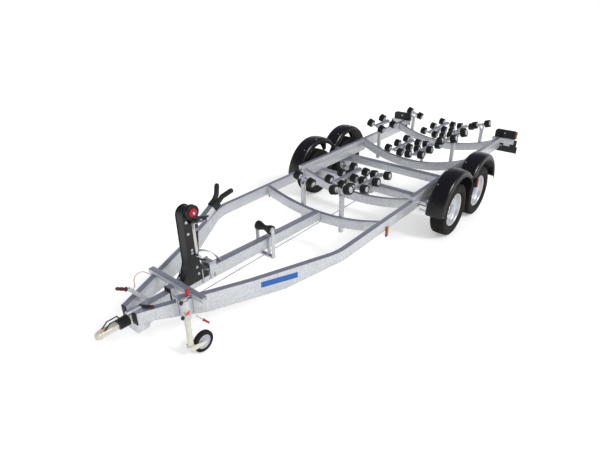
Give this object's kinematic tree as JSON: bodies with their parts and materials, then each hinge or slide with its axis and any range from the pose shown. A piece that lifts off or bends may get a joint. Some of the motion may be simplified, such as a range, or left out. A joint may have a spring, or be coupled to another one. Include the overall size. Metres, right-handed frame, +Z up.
{
  "type": "boat trailer",
  "caption": "Twin-axle boat trailer with tapered drawbar, ball coupling, jockey wheel, winch post with bow stop and rocking roller cradles for the hull.",
  "frame": {"origin": "on the floor, below the middle of the overall box", "axes": "+Z up; +Y from the coupling towards the tail; +X towards the trailer's left side"},
  "size_m": [2.27, 6.254, 1.159],
  "materials": {
    "roller_rubber": "matte",
    "galvanised": "satin",
    "black_rubber": "matte",
    "red_cable": "gloss",
    "black_paint": "satin",
    "cast_zinc": "satin",
    "black_plastic": "gloss",
    "silver_paint": "satin",
    "tyre": "matte",
    "zinc_plate": "satin",
    "jockey_plastic": "matte",
    "blue_plate": "gloss",
    "red_lens": "gloss",
    "amber_lens": "gloss",
    "strap_webbing": "matte"
  },
  "bodies": {
    "chassis": {"bow_stop_arm": "galvanised", "bow_stop_pads": "black_rubber", "brake_rod": "galvanised", "breakaway_cable": "red_cable", "centre_beam": "galvanised", "clamp_plate": "galvanised", "coupling_handle": "black_paint", "coupling_head": "cast_zinc", "cradle_forks": "galvanised", "cross_members": "galvanised", "drawbar_rails": "galvanised", "end_caps": "black_rubber", "fender_bars": "galvanised", "fenders": "black_plastic", "front_axle": "galvanised", "hand_levers": "black_paint", "jockey_clamp": "zinc_plate", "keel_bracket": "galvanised", "label_plate": "blue_plate", "lamp_bars": "galvanised", "lamp_housings": "black_paint", "lamp_lenses": "red_lens", "marker_lamps": "amber_lens", "overrun_housing": "galvanised", "post_stay": "galvanised", "rear_axle": "galvanised", "rear_rails": "galvanised", "roller_posts": "galvanised", "shaft_bellows": "black_rubber", "splash_flaps": "black_rubber", "winch": "black_paint", "winch_post": "black_paint", "winch_strap": "strap_webbing"},
    "front_wheel_left": {"front_tyre_left": "tyre", "front_rim_left": "silver_paint"},
    "rear_wheel_left": {"rear_tyre_left": "tyre", "rear_rim_left": "silver_paint"},
    "front_wheel_right": {"front_tyre_right": "tyre", "front_rim_right": "silver_paint"},
    "rear_wheel_right": {"rear_tyre_right": "tyre", "rear_rim_right": "silver_paint"},
    "jockey_tube": {"jockey_tube": "zinc_plate"},
    "jockey_leg": {"jockey_leg": "zinc_plate"},
    "jockey_fork": {"jockey_fork": "zinc_plate"},
    "jockey_wheel": {"jockey_tyre": "tyre", "jockey_rim": "jockey_plastic"},
    "keel_roller": {"keel_roller": "roller_rubber"},
    "front_cradle_left": {"front_cradle_left": "roller_rubber"},
    "middle_cradle_left": {"middle_cradle_left": "roller_rubber"},
    "tail_cradle_left": {"tail_cradle_left": "roller_rubber"},
    "outer_cradle_left": {"outer_cradle_left": "roller_rubber"},
    "bow_rollers_left": {"bow_rollers_left": "roller_rubber"},
    "tail_rollers_left": {"tail_rollers_left": "roller_rubber"},
    "front_cradle_right": {"front_cradle_right": "roller_rubber"},
    "middle_cradle_right": {"middle_cradle_right": "roller_rubber"},
    "tail_cradle_right": {"tail_cradle_right": "roller_rubber"},
    "outer_cradle_right": {"outer_cradle_right": "roller_rubber"},
    "bow_rollers_right": {"bow_rollers_right": "roller_rubber"},
    "tail_rollers_right": {"tail_rollers_right": "roller_rubber"}
  },
  "joints": [
    {"name": "front_wheel_left_spin", "type": "hinge", "parent": "chassis", "child": "front_wheel_left", "pos_m": [0.975, 0.673, 0.307], "axis": [1, 0, 0], "continuous": true},
    {"name": "rear_wheel_left_spin", "type": "hinge", "parent": "chassis", "child": "rear_wheel_left", "pos_m": [0.975, 1.375, 0.307], "axis": [1, 0, 0], "continuous": true},
    {"name": "front_wheel_right_spin", "type": "hinge", "parent": "chassis", "child": "front_wheel_right", "pos_m": [-0.975, 0.673, 0.307], "axis": [1, 0, 0], "continuous": true},
    {"name": "rear_wheel_right_spin", "type": "hinge", "parent": "chassis", "child": "rear_wheel_right", "pos_m": [-0.975, 1.375, 0.307], "axis": [1, 0, 0], "continuous": true},
    {"name": "jockey_tube_lift", "type": "slide", "parent": "chassis", "child": "jockey_tube", "axis": [0, 0, 1], "range_m": [0, 0.11]},
    {"name": "jockey_leg_wind", "type": "slide", "parent": "jockey_tube", "child": "jockey_leg", "axis": [0, 0, -1], "range_m": [-0.008, 0.18]},
    {"name": "jockey_swivel", "type": "hinge", "parent": "jockey_leg", "child": "jockey_fork", "pos_m": [0.31, -2.558, 0.16], "axis": [0, 0, 1], "continuous": true},
    {"name": "jockey_wheel_spin", "type": "hinge", "parent": "jockey_fork", "child": "jockey_wheel", "pos_m": [0.31, -2.44, 0.095], "axis": [1, 0, 0], "continuous": true},
    {"name": "keel_roller_spin", "type": "hinge", "parent": "chassis", "child": "keel_roller", "pos_m": [0, -1.354, 0.577], "axis": [1, 0, 0], "continuous": true},
    {"name": "front_cradle_left_rock", "type": "hinge", "parent": "chassis", "child": "front_cradle_left", "pos_m": [0.15812, 0.263, 0.52043], "axis": [0.9903, 0, 0.1392], "range_deg": [-15, 15]},
    {"name": "middle_cradle_left_rock", "type": "hinge", "parent": "chassis", "child": "middle_cradle_left", "pos_m": [0.15812, 1.629, 0.54543], "axis": [0.9903, 0, 0.1392], "range_deg": [-15, 15]},
    {"name": "tail_cradle_left_rock", "type": "hinge", "parent": "chassis", "child": "tail_cradle_left", "pos_m": [0.15812, 2.757, 0.53643], "axis": [0.9903, 0, 0.1392], "range_deg": [-15, 15]},
    {"name": "outer_cradle_left_rock", "type": "hinge", "parent": "chassis", "child": "outer_cradle_left", "pos_m": [0.53633, 1.641, 0.7884], "axis": [0.9455, 0, 0.3256], "range_deg": [-20, 20]},
    {"name": "bow_rollers_left_spin", "type": "hinge", "parent": "chassis", "child": "bow_rollers_left", "pos_m": [0.243, -0.451, 0.724], "axis": [0.9659, 0, 0.2588], "continuous": true},
    {"name": "tail_rollers_left_spin", "type": "hinge", "parent": "chassis", "child": "tail_rollers_left", "pos_m": [0.526, 2.661, 0.767], "axis": [0.9563, 0, 0.2924], "continuous": true},
    {"name": "front_cradle_right_rock", "type": "hinge", "parent": "chassis", "child": "front_cradle_right", "pos_m": [-0.15812, 0.263, 0.52043], "axis": [0.9903, 0, -0.1392], "range_deg": [-15, 15]},
    {"name": "middle_cradle_right_rock", "type": "hinge", "parent": "chassis", "child": "middle_cradle_right", "pos_m": [-0.15812, 1.629, 0.54543], "axis": [0.9903, 0, -0.1392], "range_deg": [-15, 15]},
    {"name": "tail_cradle_right_rock", "type": "hinge", "parent": "chassis", "child": "tail_cradle_right", "pos_m": [-0.15812, 2.757, 0.53643], "axis": [0.9903, 0, -0.1392], "range_deg": [-15, 15]},
    {"name": "outer_cradle_right_rock", "type": "hinge", "parent": "chassis", "child": "outer_cradle_right", "pos_m": [-0.53633, 1.641, 0.7884], "axis": [0.9455, 0, -0.3256], "range_deg": [-20, 20]},
    {"name": "bow_rollers_right_spin", "type": "hinge", "parent": "chassis", "child": "bow_rollers_right", "pos_m": [-0.243, -0.451, 0.724], "axis": [0.9659, 0, -0.2588], "continuous": true},
    {"name": "tail_rollers_right_spin", "type": "hinge", "parent": "chassis", "child": "tail_rollers_right", "pos_m": [-0.526, 2.661, 0.767], "axis": [0.9563, 0, -0.2924], "continuous": true}
  ]
}
